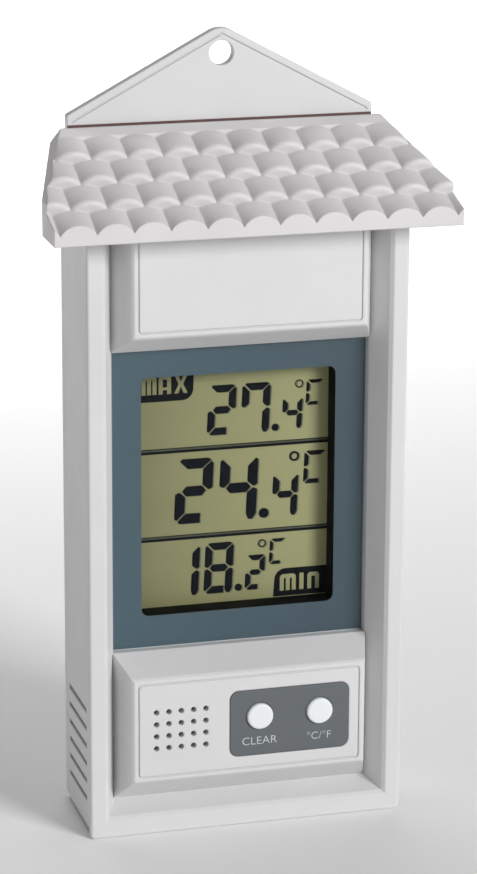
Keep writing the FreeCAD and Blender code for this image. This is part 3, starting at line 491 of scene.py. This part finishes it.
# Millimetres: each digit is (symbol, left, low, width, height, stroke) with heights
# above the bottom edge; a dot is (across, up, radius), a ring has its width as well.
MAXIMUM = reading(
    [("2", -5.0, 74.45, 5.4, 9.7, 1.42), ("7", 1.55, 74.45, 5.55, 9.7, 1.42),
     ("4", 9.65, 74.7, 3.9, 6.2, 1.02), ("C", 14.35, 79.1, 3.2, 4.95, 0.66)],
    (8.4, 75.15, 0.72), (13.05, 83.4, 0.8, 0.22))
CURRENT = reading(
    [("2", -11.4, 57.4, 7.25, 12.75, 1.98), ("4", -2.8, 57.4, 7.45, 12.75, 1.98),
     ("4", 7.75, 57.55, 5.0, 8.4, 1.3), ("C", 14.0, 63.6, 4.1, 6.45, 0.86)],
    (6.25, 58.35, 0.98), (12.2, 69.2, 0.98, 0.38))
MINIMUM = reading(
    [("1", -11.9, 43.05, 5.25, 10.1, 1.45), ("8", -5.6, 43.05, 5.6, 10.1, 1.45),
     ("2", 2.55, 43.15, 3.8, 6.95, 1.06), ("C", 7.35, 47.95, 3.05, 5.1, 0.66)],
    (1.3, 43.85, 0.72), (5.95, 52.3, 0.8, 0.25))


INK_PROUD, SHADE_PROUD = 0.05 * MM, 0.02 * MM
SHADE_SHIFT = (0.28, -0.12)
RULE_HEIGHTS = (72.0, 54.75)
RULE_THICK, RULE_GAP, RULE_TOP = 0.5, 0.34, 0.5


def display_readings():
    """Characters of the three readings, each with the faint shadow it casts."""
    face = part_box("front_polariser")[0].y
    ink = {"display_maximum": MAXIMUM, "display_current": CURRENT,
           "display_minimum": MINIMUM}
    for name, outlines in ink.items():
        artwork(name, outlines, face - INK_PROUD, INK_PROUD - SHADE_PROUD, INK)
        shadow = [moved(outline, *SHADE_SHIFT) for outline in outlines]
        artwork(name + "_shadow", shadow, face - SHADE_PROUD, SHADE_PROUD, SHADE)


def display_rules():
    """Double rules between the readings, with the shaded strip inside each."""
    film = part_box("front_polariser")[0]
    edge = -film.x / MM
    rules, between = [], []
    for up in RULE_HEIGHTS:
        rules.append(placed(rectangle(-edge, edge, up - RULE_THICK, up)))
        rules.append(placed(rectangle(-edge, edge, up + RULE_GAP, up + RULE_TOP)))
        between.append(placed(rectangle(-edge, edge, up, up + RULE_GAP)))
    artwork("display_rules", rules, film.y - INK_PROUD, INK_PROUD, INK)
    artwork("display_rule_shades", between, film.y - SHADE_PROUD, SHADE_PROUD,
            RULE_SHADE)


def blocky(symbol, left, low, width, height, stroke):
    """Rectangles of a block capital, in millimetres."""
    right, high = left + width, low + height
    middle = (left + right) / 2
    bend = stroke * 0.55
    lintel = [(left, high - stroke), (right, high - stroke), (right, high - bend),
              (right - bend, high), (left + bend, high), (left, high - bend)]
    left_leg = rectangle(left, left + stroke, low, high - stroke)
    right_leg = rectangle(right - stroke, right, low, high - stroke)
    if symbol == "M":
        centre = rectangle(middle - stroke / 2, middle + stroke / 2, low, high - stroke)
        return [lintel, left_leg, centre, right_leg]
    if symbol == "N":
        return [lintel, left_leg, right_leg]
    if symbol == "A":
        bar = rectangle(left + stroke, right - stroke, low + stroke, low + 1.7 * stroke)
        return [lintel, left_leg, right_leg, bar]
    if symbol == "I":
        return [rectangle(left, right, low, high)]
    waist = stroke * 0.55
    up = (low + high) / 2
    return [[(left, low), (left + stroke, low), (middle, up - waist),
             (right - stroke, low), (right, low), (middle + waist, up), (right, high),
             (right - stroke, high), (middle, up + waist), (left + stroke, high),
             (left, high), (middle - waist, up)]]


TAB_CORNER, TAB_LEAN = 2.2, 0.25
UPPER_TAB_SIDE, UPPER_TAB_LOW, UPPER_TAB_HIGH = -7.6, 81.7, 92.0
LOWER_TAB_SIDE, LOWER_TAB_LOW, LOWER_TAB_HIGH = 8.5, 41.3, 46.9
TAB_PROUD = 0.03 * MM
# each word: ((letter, left, width), ...), low, height, stroke
TAB_WORDS = (((("M", -17.6, 2.9), ("A", -14.3, 2.4), ("X", -11.3, 2.6)), 83.1, 3.6, 0.78),
             ((("M", 9.6, 3.2), ("I", 13.5, 0.85), ("N", 15.1, 2.35)), 42.4, 3.3, 0.8))


def tab_artwork():
    """Dark corner tabs with the words MAX and MIN in the colour of the display."""
    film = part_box("front_polariser")[0]
    edge = -film.x / MM
    upper = [(-edge, UPPER_TAB_LOW)]
    upper += arc(UPPER_TAB_SIDE - TAB_CORNER, UPPER_TAB_LOW + TAB_CORNER, TAB_CORNER,
                 270, 360)
    upper += [(UPPER_TAB_SIDE + TAB_LEAN, UPPER_TAB_HIGH), (-edge, UPPER_TAB_HIGH)]
    lower = [(edge, LOWER_TAB_LOW), (edge, LOWER_TAB_HIGH)]
    lower += arc(LOWER_TAB_SIDE + TAB_CORNER, LOWER_TAB_HIGH - TAB_CORNER, TAB_CORNER,
                 90, 180)
    lower.append((LOWER_TAB_SIDE - TAB_LEAN, LOWER_TAB_LOW))
    artwork("display_tabs", [placed(upper), placed(lower)], film.y - TAB_PROUD,
            TAB_PROUD, INK)
    letters = [blocky(symbol, left, low, width, height, stroke)
               for word, low, height, stroke in TAB_WORDS
               for symbol, left, width in word]
    artwork("display_words", [placed(part) for letter in letters for part in letter],
            film.y - INK_PROUD, INK_PROUD - TAB_PROUD, LOOKS["polariser_film"])


# ---------------------------------------------------------------- label lettering

# name, words, and the left, right, low and high sides of the box they fill
LABEL_WORDS = (("label_clear", "CLEAR", -1.4, 5.4, 16.75, 18.25),
               ("label_units", "°C/°F", 11.4, 16.1, 16.7, 18.2))
LETTER_EXTRUDE, LETTER_THINNING = 0.01, -0.012
LETTER_PROUD = 0.03 * MM


def text_mesh(name, words):
    """Flat mesh of the words in the built-in font."""
    curve = bpy.data.curves.new(name, "FONT")
    curve.body = words
    curve.extrude = LETTER_EXTRUDE
    curve.offset = LETTER_THINNING
    source = bpy.data.objects.new(name + "_source", curve)
    bpy.context.scene.collection.objects.link(source)
    graph = bpy.context.evaluated_depsgraph_get()
    data = bpy.data.meshes.new_from_object(source.evaluated_get(graph))
    bpy.data.objects.remove(source)
    data.name = name
    return data


def print_text(name, words, left, right, low, high):
    """Raised lettering fitted into a box on the control label, in millimetres."""
    data = text_mesh(name, words)
    corners = [vertex.co for vertex in data.vertices]
    lows = Vector([min(corner[i] for corner in corners) for i in range(3)])
    highs = Vector([max(corner[i] for corner in corners) for i in range(3)])
    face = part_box("control_label")[0].y
    size = Vector(((right - left) * MM / (highs.x - lows.x),
                   (high - low) * MM / (highs.y - lows.y),
                   LETTER_PROUD / (highs.z - lows.z)))
    lay_flat = Matrix(((size.x, 0, 0, left * MM - lows.x * size.x),
                       (0, 0, -size.z, face + lows.z * size.z),
                       (0, size.y, 0, FLOOR + low * MM - lows.y * size.y),
                       (0, 0, 0, 1)))
    data.transform(lay_flat)
    data.materials.clear()
    data.materials.append(PRINT.material)
    piece = bpy.data.objects.new(name, data)
    bpy.context.scene.collection.objects.link(piece)
    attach(piece, "case")
    return piece


# ---------------------------------------------------------------- studio

PAPER_WIDTH, PAPER_FRONT, PAPER_TOP = 6.0, -3.0, 5.0
BEND_START, BEND_RADIUS, BEND_STEPS = 1.6, 1.2, 24


def backdrop():
    """Pale floor that curves up into a wall well behind the object."""
    look = Look("studio_paper", 0.8).paint(srgb(248, 248, 248), 0.006, 0.2)
    look.relief(2 * MM, 0.05 * MM, 0.1)
    bend = arc(BEND_START, BEND_RADIUS, BEND_RADIUS, 270, 360, BEND_STEPS)
    profile = [(PAPER_FRONT, 0.0), (BEND_START, 0.0)] + bend[1:]
    profile.append((BEND_START + BEND_RADIUS, PAPER_TOP))
    mesh = bmesh.new()
    rows = [[mesh.verts.new((side * PAPER_WIDTH / 2, y, FLOOR + z)) for side in (-1, 1)]
            for y, z in profile]
    for near, far in zip(rows, rows[1:]):
        face = mesh.faces.new((near[0], near[1], far[1], far[0]))
        face.smooth = True
    data = bpy.data.meshes.new("studio_paper")
    mesh.to_mesh(data)
    mesh.free()
    data.materials.append(look.material)
    paper = bpy.data.objects.new("studio_paper", data)
    bpy.context.scene.collection.objects.link(paper)


def soft_light(name, place, size, power, aim=(0, 0, 0), spread=180):
    """Square lamp; place and aim are measured from the middle of the object."""
    lamp = bpy.data.lights.new(name, "AREA")
    lamp.size = size
    lamp.energy = power
    lamp.spread = math.radians(spread)
    light = bpy.data.objects.new(name, lamp)
    middle = (CAD_BOX[0] + CAD_BOX[1]) / 2
    light.location = middle + Vector(place)
    facing = Vector(aim) - Vector(place)
    light.rotation_euler = facing.to_track_quat("-Z", "Y").to_euler()
    bpy.context.scene.collection.objects.link(light)


def lighting():
    """Key from the right, a weak lamp at the left side, and one for the floor behind."""
    soft_light("key", (0.7, -1.15, 0.55), 0.5, 15.6)
    soft_light("side", (-1.4, -0.2, 0.2), 0.6, 2.0)
    soft_light("floor", (0.0, 0.85, 1.1), 0.8, 5.2, (0.0, 0.85, -0.1), 70)
    world = bpy.data.worlds.new("studio")
    world.use_nodes = True
    world.node_tree.nodes["Background"].inputs["Color"].default_value = (1, 1, 1, 1)
    world.node_tree.nodes["Background"].inputs["Strength"].default_value = 0.21
    bpy.context.scene.world = world


YAW, PITCH, ROLL = 0.273, 0.281, -0.005
EYE = (-0.158967, -0.582816, 0.099835)
FOCAL_LENGTH, SENSOR_WIDTH = 134.98, 36.0


def camera():
    """Long lens, left of the object's front and a little above it."""
    forward = Vector((math.sin(YAW) * math.cos(PITCH), math.cos(YAW) * math.cos(PITCH),
                      -math.sin(PITCH)))
    level = Vector((math.cos(YAW), -math.sin(YAW), 0.0))
    down = forward.cross(level)
    right = level * math.cos(ROLL) + down * math.sin(ROLL)
    up = level * math.sin(ROLL) - down * math.cos(ROLL)
    lens = bpy.data.cameras.new("camera")
    lens.lens = FOCAL_LENGTH
    lens.sensor_width = SENSOR_WIDTH
    lens.clip_start = 0.01
    lens.clip_end = 20.0
    eye = bpy.data.objects.new("camera", lens)
    turn = Matrix((right, up, -forward)).transposed().to_4x4()
    eye.matrix_world = Matrix.Translation(EYE) @ turn
    bpy.context.scene.collection.objects.link(eye)
    bpy.context.scene.camera = eye


dress_cad_nodes()
display_readings()
display_rules()
tab_artwork()
for label_words in LABEL_WORDS:
    print_text(*label_words)
backdrop()
lighting()
camera()
bpy.context.scene.view_settings.view_transform = "Standard"
bpy.context.scene.cycles.transparent_max_bounces = 16
